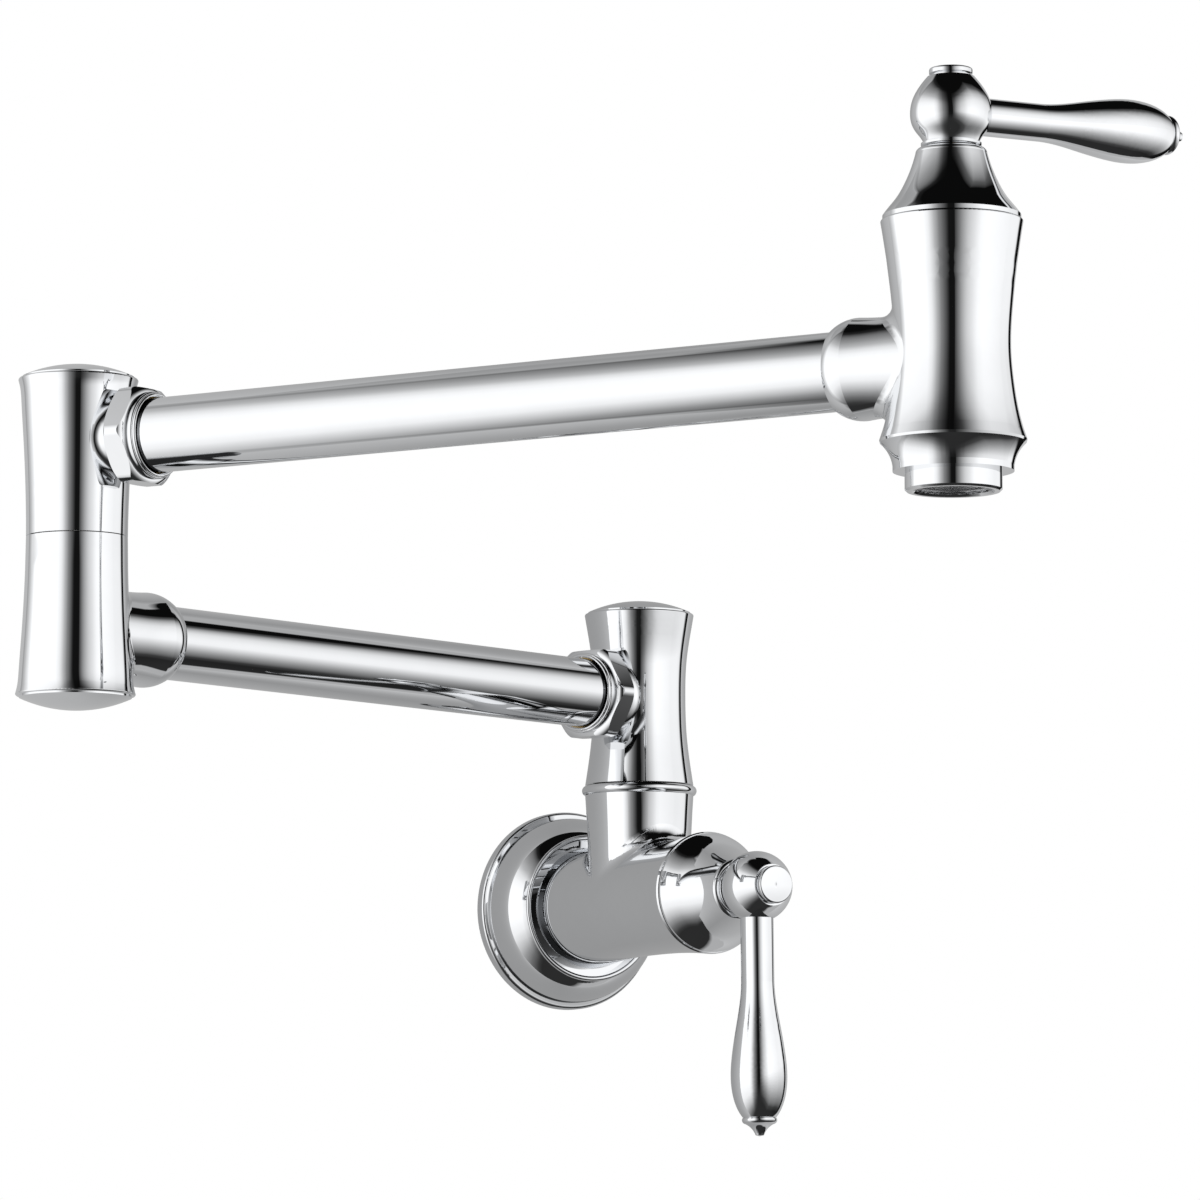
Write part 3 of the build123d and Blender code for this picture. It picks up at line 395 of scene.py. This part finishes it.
def lattice_points(tree, pitch, radius):
    """Points of a triangular lattice with room for a whole cell inside the radius."""
    one_side = maths(tree, "CEIL", maths(
        tree, "DIVIDE", maths(tree, "MULTIPLY", radius, rows_per_pitch), pitch))
    rows = maths(tree, "ADD", spare_rows, maths(tree, "MULTIPLY", 2.0, one_side))
    span = maths(tree, "MULTIPLY", pitch, maths(tree, "SUBTRACT", rows, 1.0))
    grid = place(tree, "GeometryNodeMeshGrid")
    count = place(tree, "GeometryNodeInputIndex")
    odd_row = maths(tree, "MODULO", maths(tree, "FLOOR", maths(
        tree, "DIVIDE", maths(tree, "ADD", count.outputs[0], 0.5), rows)), 2.0)
    push = maths(tree, "MULTIPLY", pitch, maths(tree, "MULTIPLY", odd_row, 0.5))
    shift = place(tree, "ShaderNodeCombineXYZ")
    staggered = place(tree, "GeometryNodeSetPosition")
    wire(tree, (rows, grid.inputs["Vertices X"]), (rows, grid.inputs["Vertices Y"]),
         (maths(tree, "MULTIPLY", span, row_share), grid.inputs["Size X"]),
         (span, grid.inputs["Size Y"]), (push, shift.inputs[1]),
         (grid.outputs["Mesh"], staggered.inputs["Geometry"]),
         (shift.outputs[0], staggered.inputs["Offset"]))
    spot = place(tree, "GeometryNodeInputPosition")
    far = place(tree, "ShaderNodeVectorMath", operation="LENGTH")
    trimmed = place(tree, "GeometryNodeDeleteGeometry")
    last = maths(tree, "SUBTRACT", radius, maths(tree, "MULTIPLY", pitch, corner_share))
    wire(tree, (spot.outputs[0], far.inputs[0]), (staggered.outputs[0], trimmed.inputs["Geometry"]),
         (maths(tree, "GREATER_THAN", far.outputs["Value"], last), trimmed.inputs["Selection"]))
    return trimmed.outputs[0]


print("rows lie", round(row_share, 3), "of a pitch apart")

# %% [markdown]
# One cell is a narrow upright rectangle swept round a six-sided path. Its walls stand a hair away
# from those of the cells beside it, because two faces in one place would flicker. The screen sits
# just above the foot of the insert, and its sizes are written once, for the tree and for `grow`.

# %% The cells and the screen
wall_and_gap = 1.2                # a wall and the gap beside it, counted in walls


def honeycomb_tree(sizes):
    """Six-sided cells on the lattice, whole ones only."""
    tree, given, result = new_tree("honeycomb", sizes)
    pitch = given.outputs["Pitch"]
    hexagon = place(tree, "GeometryNodeMeshCircle", vertices=6)
    path = place(tree, "GeometryNodeMeshToCurve")
    upright = place(tree, "GeometryNodeSetCurveNormal", mode="Z_UP")
    wall = place(tree, "GeometryNodeCurvePrimitiveQuadrilateral")
    cell = place(tree, "GeometryNodeCurveToMesh")
    cells = place(tree, "GeometryNodeInstanceOnPoints")
    cell_radius = maths(tree, "DIVIDE", maths(tree, "SUBTRACT", pitch, maths(
        tree, "MULTIPLY", given.outputs["Wall"], wall_and_gap)), math.sqrt(3))
    wire(tree, (cell_radius, hexagon.inputs["Radius"]),
         (hexagon.outputs["Mesh"], path.inputs["Mesh"]), (path.outputs[0], upright.inputs[0]),
         (upright.outputs[0], cell.inputs["Curve"]), (given.outputs["Wall"], wall.inputs["Width"]),
         (given.outputs["Depth"], wall.inputs["Height"]),
         (wall.outputs[0], cell.inputs["Profile Curve"]),
         (lattice_points(tree, pitch, given.outputs["Screen Radius"]), cells.inputs["Points"]),
         (cell.outputs[0], cells.inputs["Instance"]))
    settle(tree, given, result, cells.outputs[0])
    return tree


screen_rise = 0.0006
insert_low, insert_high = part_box("aerator_insert")
screen_middle = ((insert_low[0] + insert_high[0]) / 2, (insert_low[1] + insert_high[1]) / 2,
                 insert_low[2] + screen_rise)
screen_sizes = {"Pitch": 0.0016, "Screen Radius": 0.0094, "Wall": 0.0002, "Depth": 0.0008}
grow("aerator_honeycomb", honeycomb_tree(screen_sizes),
     {**screen_sizes, "Place": screen_middle, "Finish": spring_steel}, "upper_arm")

# %% [markdown]
# ## The thread in the inlet
#
# The tap screws onto a half-inch pipe, whose thread has 14 turns to the inch: a pitch of 1.814 mm.
# A thread is one ridge that winds round the bore, so it is a three-cornered profile swept along a
# spiral of even radius, from the mouth inwards. Separate rings would look much the same, but no
# pipe could be screwed into them.


# %% The inlet's thread
def thread_tree(sizes):
    """A three-cornered ridge wound round the bore."""
    tree, given, result = new_tree("pipe_thread", sizes)
    winding = place(tree, "GeometryNodeCurveSpiral", resolution=48)
    ridge = place(tree, "GeometryNodeCurvePrimitiveCircle", resolution=3)
    upright = place(tree, "GeometryNodeSetCurveNormal", mode="Z_UP")
    thread = place(tree, "GeometryNodeCurveToMesh", fill_caps=True)
    length = maths(tree, "MULTIPLY", given.outputs["Pitch"], given.outputs["Turns"])
    wire(tree, (given.outputs["Turns"], winding.inputs["Rotations"]),
         (given.outputs["Bore"], winding.inputs["Start Radius"]),
         (given.outputs["Bore"], winding.inputs["End Radius"]), (length, winding.inputs["Height"]),
         (given.outputs["Ridge"], ridge.inputs["Radius"]), (winding.outputs[0], upright.inputs[0]),
         (upright.outputs[0], thread.inputs["Curve"]),
         (ridge.outputs[0], thread.inputs["Profile Curve"]))
    settle(tree, given, result, thread.outputs[0], rotation=(math.radians(90), 0, 0))
    return tree


thread_start = (0.0, -0.0008, 0.0)
thread_sizes = {"Bore": 0.0092, "Pitch": 0.001814, "Turns": 8.0, "Ridge": 0.0007}
grow("inlet_thread", thread_tree(thread_sizes),
     {**thread_sizes, "Place": thread_start, "Finish": bare_brass}, "wall_unit")

# %% [markdown]
# ## The studio
#
# A photographer lights chrome with what it reflects. Here two tall soft boxes stand left and right
# of the camera, so each upright cylinder shows two broad white bands. The camera looks through the
# slit between them, which is the thin black line down the middle. A black board edges the right
# box, darkness hangs above and below, and a pale grey sheet behind the tap gives every outline its
# grey.
#
# The room is a long dome around the tap. Its shader asks where on the dome a reflection lands: how
# far round from the camera, and how high. The lists below give the light there, in degrees and in
# the greys that you would see in the chrome. Because the dome stands close by, the near spout and
# the far wall see its edges at different angles, as they would in a real studio.

# %% The boxes, the left sheet and the dark
left_round = [(0, 0.04), (8, 0.04), (11, 0.12), (16, 0.23), (25, 0.37), (35, 0.51), (45, 0.72),
              (55, 0.95), (62, 1.02), (101, 1.02), (109, 0.86), (117, 0.48), (123, 0.0)]
left_high = [(-76, 0.0), (-72, 0.15), (-64, 0.38), (-56, 0.56), (-48, 0.72), (-40, 0.83),
             (-32, 0.92), (-20, 0.97), (-8, 1.0), (24, 0.98), (32, 0.95), (40, 0.87), (48, 0.70),
             (56, 0.57), (64, 0.43), (70, 0.12), (74, 0.0)]
right_round = [(0, 0.04), (9, 0.04), (11, 0.26), (16, 0.37), (25, 0.53), (35, 0.69), (45, 0.82),
               (55, 0.91), (63, 1.0), (70, 1.02), (80, 1.0), (95, 0.96), (115, 0.96), (124, 0.93),
               (129, 0.12), (132, 0.0)]
right_high = [(-58, 0.0), (-48, 0.20), (-40, 0.43), (-32, 0.55), (-24, 0.67), (-16, 0.79),
              (-8, 0.90), (0, 0.99), (8, 1.0), (16, 0.99), (24, 0.96), (32, 0.92), (40, 0.82),
              (48, 0.66), (56, 0.34), (64, 0.0)]
left_sheet = [(108, 0.0), (119, 0.62), (145, 0.58), (165, 0.62), (180, 0.65)]
dark_room = [(-90, 0.17), (-50, 0.16), (-20, 0.07), (0, 0.04), (90, 0.04)]
print("the left box ends at", left_round[-1][0], "degrees, the right one at", right_round[-1][0])

# %% [markdown]
# A grey on a screen isn't the amount of light that makes it, so `seen_grey` undoes the screen's
# curve. `ramp` is a Color Ramp, which holds such a list of stops. The lists could be written as
# light instead, but then nobody could compare them with the picture.

# %% From greys to light
half_turn = 180                   # degrees
straight_down, straight_up = -90, 90


def ramp(tree, factor, stops):
    """A grey Color Ramp; each stop is a place from 0 to 1 and a brightness."""
    node = tree.nodes.new("ShaderNodeValToRGB")
    colours = node.color_ramp
    colours.interpolation = "LINEAR"
    while len(colours.elements) < len(stops):
        colours.elements.new(0.5)
    for element, (spot, level) in zip(colours.elements, stops):
        element.position = spot
        element.color = (level, level, level, 1)
    tree.links.new(factor, node.inputs[0])
    return node.outputs[0]


def seen_grey(level):
    """The light that a screen shows as this grey, by the usual curve of screens (sRGB)."""
    return ((level + 0.055) / 1.055) ** 2.4 if level > 0.0 else 0.0


def by_degree(tree, factor, stops, low=0, high=half_turn):
    """Ramp over degrees from low to high, written in greys as seen."""
    span = high - low
    return ramp(tree, factor, [((spot - low) / span, seen_grey(level)) for spot, level in stops])


print("a middle grey needs", round(seen_grey(0.5), 3), "of the light of white")

# %% [markdown]
# The shader first turns a place on the dome into two angles, round and up, and counts both in half
# turns. It also asks which side of the camera it is on, because the two boxes differ.
#
# The right box narrows the farther round it goes: its top comes down and its foot comes up. A
# second list for every angle would do that too, but stretching the height before it is looked up
# needs only two numbers.

# %% Round and up
narrows_from, narrowing = 75 / half_turn, 2.6
number_a, number_b = 2, 3         # a Mix node's sockets A and B for plain numbers


def angles(room, dome_place):
    """Which side, how far round, how high, and how high for the narrowing right box."""
    split = place(room, "ShaderNodeSeparateXYZ")
    wire(room, (dome_place, split.inputs[0]))
    across, away, rise = split.outputs
    side = maths(room, "GREATER_THAN", across, 0.0)
    toward = maths(room, "MULTIPLY", away, -1.0)
    bearing = maths(room, "ABSOLUTE", maths(room, "ARCTAN2", across, toward))
    round_by = maths(room, "DIVIDE", bearing, math.pi)
    height = maths(room, "DIVIDE", maths(room, "ARCSINE", rise), math.pi)
    past = maths(room, "MAXIMUM", 0.0, maths(room, "SUBTRACT", round_by, narrows_from))
    steeper = maths(room, "MULTIPLY", height, maths(
        room, "ADD", 1.0, maths(room, "MULTIPLY", narrowing, past)))
    return side, round_by, height, steeper


def chosen(room, side, left, right):
    """The left value on the left side of the room and the right value on the right side."""
    node = place(room, "ShaderNodeMix", data_type="FLOAT")
    wire(room, (side, node.inputs[0]), (left, node.inputs[number_a]),
         (right, node.inputs[number_b]))
    return node.outputs[0]


print("the right box narrows from", round(narrows_from * half_turn), "degrees on")

# %% [markdown]
# The pale sheet behind the tap has a list of its own on the left. On the right it starts behind
# the black board. The board is widest at the height of the tap, and above and below it the sheet
# comes forward to the box. The sheet ends short of the top and the bottom of the dome, and lower
# on the right. Each edge is soft, from the angle where there is none of the sheet to the angle
# where all of it is there.

# %% The sheet and the black board
board_end, board_width = 147 / half_turn, 17 / half_turn
board_whole_below, board_gone_above = 14 / half_turn, 36 / half_turn
sheet_edge, right_sheet_grey = 3 / half_turn, 0.65
left_top_none, left_top_all = 70 / half_turn, 66 / half_turn
right_top_none, right_top_all = 53 / half_turn, 50 / half_turn
foot_none, foot_all = -68 / half_turn, -62 / half_turn


def between(tree, value, low, high, top=1.0):
    """Rises from 0 to top while the value goes from low to high; any of them may be a socket."""
    node = place(tree, "ShaderNodeMapRange", to_max=top)
    for label, term in (("Value", value), ("From Min", low), ("From Max", high)):
        feed(tree, node.inputs[label], term)
    return node.outputs["Result"]


def sheet_light(room, side, round_by, height):
    """Light of the pale sheet at this place on the dome."""
    no_board = between(room, maths(room, "ABSOLUTE", height), board_whole_below, board_gone_above)
    start = maths(room, "SUBTRACT", board_end, maths(room, "MULTIPLY", no_board, board_width))
    right_sheet = between(room, round_by, start, maths(room, "ADD", start, sheet_edge),
                          seen_grey(right_sheet_grey))
    sheet = chosen(room, side, by_degree(room, round_by, left_sheet), right_sheet)
    top = chosen(room, side, between(room, height, left_top_none, left_top_all),
                 between(room, height, right_top_none, right_top_all))
    foot = between(room, height, foot_none, foot_all)
    return maths(room, "MULTIPLY", sheet, maths(room, "MULTIPLY", top, foot))


print("on the right the sheet starts at", round(board_end * half_turn), "degrees")

# %% [markdown]
# The room is then a sum: each box is one list round times one list up, and the sheet and the dark
# are added. Chrome gives back about four fifths of the light that falls on it, so the whole is
# divided by that. It is a group, so that the dome's material stays small enough to read.

# %% The room
mirror = 0.80


def room_group():
    """Light by place on the unit dome: X to the right, Y away from the camera, Z up."""
    room = bpy.data.node_groups.new("room", "ShaderNodeTree")
    room.interface.new_socket("Place", in_out="INPUT", socket_type="NodeSocketVector")
    room.interface.new_socket("Light", in_out="OUTPUT", socket_type="NodeSocketFloat")
    given, result = room.nodes.new("NodeGroupInput"), room.nodes.new("NodeGroupOutput")
    side, round_by, height, steeper = angles(room, given.outputs["Place"])
    lift = maths(room, "ADD", height, 0.5)
    steep_lift = maths(room, "ADD", steeper, 0.5)
    box_round = chosen(room, side, by_degree(room, round_by, left_round),
                       by_degree(room, round_by, right_round))
    box_high = chosen(room, side, by_degree(room, lift, left_high, straight_down, straight_up),
                      by_degree(room, steep_lift, right_high, straight_down, straight_up))
    box = maths(room, "MULTIPLY", box_round, box_high)
    sheet = sheet_light(room, side, round_by, height)
    dark = by_degree(room, lift, dark_room, straight_down, straight_up)
    light = maths(room, "ADD", dark, maths(room, "ADD", box, sheet))
    wire(room, (maths(room, "DIVIDE", light, mirror), result.inputs["Light"]))
    return room


room = room_group()
print("room shader nodes:", len(room.nodes))

# %% [markdown]
# ## The dome that carries the room
#
# The dome is a ball whose front half is drawn out towards the camera, because this studio is deeper
# than it is wide. A ball of small triangles has no poles at which the light would pinch. It is
# turned the way the camera looks, and only reflections see it.

# %% The dome's shape
dome_radius = 0.90
dome_front = 1.84
dome_back_off = 0.24
dome_height = 0.06
stretch = dome_front / dome_radius


def only_in_reflections(thing):
    """Hides a piece of the studio from everything but reflections."""
    for kind in ("camera", "diffuse", "shadow", "transmission", "volume_scatter"):
        setattr(thing, "visible_" + kind, False)


ball = bmesh.new()
bmesh.ops.create_icosphere(ball, subdivisions=5, radius=1.0)
for vertex in ball.verts:
    if vertex.co.y < 0.0:
        vertex.co.y *= stretch
dome_mesh = bpy.data.meshes.new("studio_dome")
ball.to_mesh(dome_mesh)
ball.free()
dome = new_object("studio_dome", dome_mesh)
dome.scale = (dome_radius, dome_radius, dome_radius)
dome.rotation_euler = (0, 0, -camera_turn)
dome.location = (-dome_back_off * math.sin(camera_turn), -dome_back_off * math.cos(camera_turn),
                 dome_height)
only_in_reflections(dome)
print("dome faces:", len(dome_mesh.polygons))

# %% [markdown]
# The dome glows with the room's light. Its Object coordinates give the place, and the drawn-out
# front is squeezed back first, so that the angles are those of a plain ball. The group's light
# goes into the Emission Color, and the Strength stays at 1.


# %% The dome's light
def glowing(name):
    """A material that only gives light, with its tree and its Emission node."""
    material = bpy.data.materials.new(name)
    material.use_nodes = True
    material.cycles.emission_sampling = "NONE"
    tree = material.node_tree
    tree.nodes.clear()
    glow = place(tree, "ShaderNodeEmission", strength=1.0)
    output = place(tree, "ShaderNodeOutputMaterial")
    wire(tree, (glow.outputs[0], output.inputs["Surface"]))
    return material, tree, glow


dome_light, tree, glow = glowing("studio_light")
spot = place(tree, "ShaderNodeTexCoord")
parts = place(tree, "ShaderNodeSeparateXYZ")
whole = place(tree, "ShaderNodeCombineXYZ")
lookup = place(tree, "ShaderNodeGroup", node_tree=room)
wire(tree, (spot.outputs["Object"], parts.inputs[0]), (parts.outputs[0], whole.inputs[0]),
     (parts.outputs[2], whole.inputs[2]), (whole.outputs[0], lookup.inputs["Place"]),
     (lookup.outputs["Light"], glow.inputs["Color"]))
in_front = maths(tree, "LESS_THAN", parts.outputs[1], 0.0)
squeeze = maths(tree, "ADD", 1.0, maths(tree, "MULTIPLY", in_front, stretch - 1.0))
wire(tree, (maths(tree, "DIVIDE", parts.outputs[1], squeeze), whole.inputs[1]))
dome_mesh.materials.append(dome_light)
print("dome light nodes:", len(tree.nodes))

# %% [markdown]
# ## The wall
#
# The wall that the tap hangs on is a pale panel that ends a little way to either side. The pieces
# close to it see much of it and the spout sees little, which is why the column at the wall has a
# broad grey edge and the spout a thin one. It could have been one more stretch in the dome's lists,
# but no single angle would be right for both. Only reflections see it, and its grey is darkest
# behind the tap.

# %% The wall panel
panel_left, panel_right, panel_rise, panel_back = -0.30, 0.42, 0.45, 0.003
panel_span = 0.5                  # the greys are written over this many metres to either side
panel_greys = [(0.0, 0.57), (0.12, 0.60), (0.35, 0.67), (0.9, 0.76)]


def flat_sheet(name, corners):
    """An object of one face with four corners."""
    mesh = bpy.data.meshes.new(name)
    mesh.from_pydata(corners, [], [(0, 1, 2, 3)])
    return new_object(name, mesh)


panel = flat_sheet("wall_panel", [
    (panel_left, panel_back, -panel_rise), (panel_right, panel_back, -panel_rise),
    (panel_right, panel_back, panel_rise), (panel_left, panel_back, panel_rise)])
only_in_reflections(panel)

panel_light, tree, glow = glowing("panel_light")
spot = place(tree, "ShaderNodeTexCoord")
parts = place(tree, "ShaderNodeSeparateXYZ")
wire(tree, (spot.outputs["Object"], parts.inputs[0]))
off = maths(tree, "ABSOLUTE", parts.outputs[0])
grey = ramp(tree, maths(tree, "DIVIDE", off, panel_span),
            [(share, seen_grey(level)) for share, level in panel_greys])
wire(tree, (maths(tree, "DIVIDE", grey, mirror), glow.inputs["Color"]))
panel.data.materials.append(panel_light)
print("panel from", panel_left, "to", panel_right)

# %% [markdown]
# ## The sky
#
# The lens sees plain white around the tap, and matt surfaces are lit by an even white sky that is a
# little weaker. A Light Path node tells the two kinds of ray apart. A white sheet behind the tap
# would do for one view, but the sky is white from every side.

# %% The sky
sky_light, extra_for_lens = 0.9, 0.1
sky = bpy.data.worlds.new("studio_sky")
sky.use_nodes = True
bpy.context.scene.world = sky
tree = sky.node_tree
ray = place(tree, "ShaderNodeLightPath")
seen = maths(tree, "MAXIMUM", ray.outputs["Is Camera Ray"], ray.outputs["Is Transmission Ray"])
strength = maths(tree, "ADD", sky_light, maths(tree, "MULTIPLY", seen, extra_for_lens))
backdrop = tree.nodes["Background"]
backdrop.inputs["Color"].default_value = (1, 1, 1, 1)
wire(tree, (strength, backdrop.inputs["Strength"]))
print("world:", sky.name)

# %% [markdown]
# ## The floor
#
# The tap hangs on a wall, so the floor lies well below it and out of the picture. It is a large
# pale sheet that catches a soft shadow when you look down from above, and it fades into the white
# farther off. Chrome doesn't see it, and neither does a lens that looks up from below.

# %% Floor
floor_height, floor_reach = -0.42, 6.0
fade_from, fade_to = 0.7, 2.6
floor = flat_sheet("floor", [
    (-floor_reach, -floor_reach, floor_height), (floor_reach, -floor_reach, floor_height),
    (floor_reach, floor_reach, floor_height), (-floor_reach, floor_reach, floor_height)])

pale_floor = bpy.data.materials.new("pale_floor")
pale_floor.use_nodes = True
tree = pale_floor.node_tree
paint = tree.nodes["Principled BSDF"]
paint.inputs["Base Color"].default_value = (0.86, 0.86, 0.85, 1)
paint.inputs["Roughness"].default_value = 0.7
ray = place(tree, "ShaderNodeLightPath")
through = place(tree, "ShaderNodeBsdfTransparent")
either = place(tree, "ShaderNodeMixShader")
spot = place(tree, "ShaderNodeTexCoord")
far = place(tree, "ShaderNodeVectorMath", operation="LENGTH")
facing = place(tree, "ShaderNodeNewGeometry")
wire(tree, (spot.outputs["Object"], far.inputs[0]))
unseen = maths(tree, "MAXIMUM", ray.outputs["Is Glossy Ray"], facing.outputs["Backfacing"])
fade = maths(tree, "MAXIMUM", between(tree, far.outputs["Value"], fade_from, fade_to), unseen)
wire(tree, (fade, either.inputs[0]), (paint.outputs[0], either.inputs[1]),
     (through.outputs[0], either.inputs[2]),
     (either.outputs[0], tree.nodes["Material Output"].inputs["Surface"]))
floor.data.materials.append(pale_floor)
print("floor at", floor_height)

# %% [markdown]
# ## Soft lamps
#
# Matt pieces need lamps that chrome must not show, so three large area lamps light the tap softly
# and are switched off for reflections. Small lamps would light it too, but with hard shadows.

# %% Lamps
lamp_aim = Vector((-0.1, -0.2, 0.05))
lamps = (("left_lamp", (-1.5, -1.2, 0.9), 1.2, 14.0),
         ("right_lamp", (1.3, -1.4, 0.8), 1.2, 10.0),
         ("top_lamp", (0.0, -0.3, 1.8), 1.6, 12.0))
for name, stand, size, power in lamps:
    light = bpy.data.lights.new(name, "AREA")
    light.size = size
    light.energy = power
    light.specular_factor = 0.0
    lamp = new_object(name, light)
    lamp.location = stand
    lamp.rotation_euler = (lamp_aim - Vector(stand)).to_track_quat("-Z", "Y").to_euler()
    lamp.visible_glossy = False
print("lamps:", len(lamps))
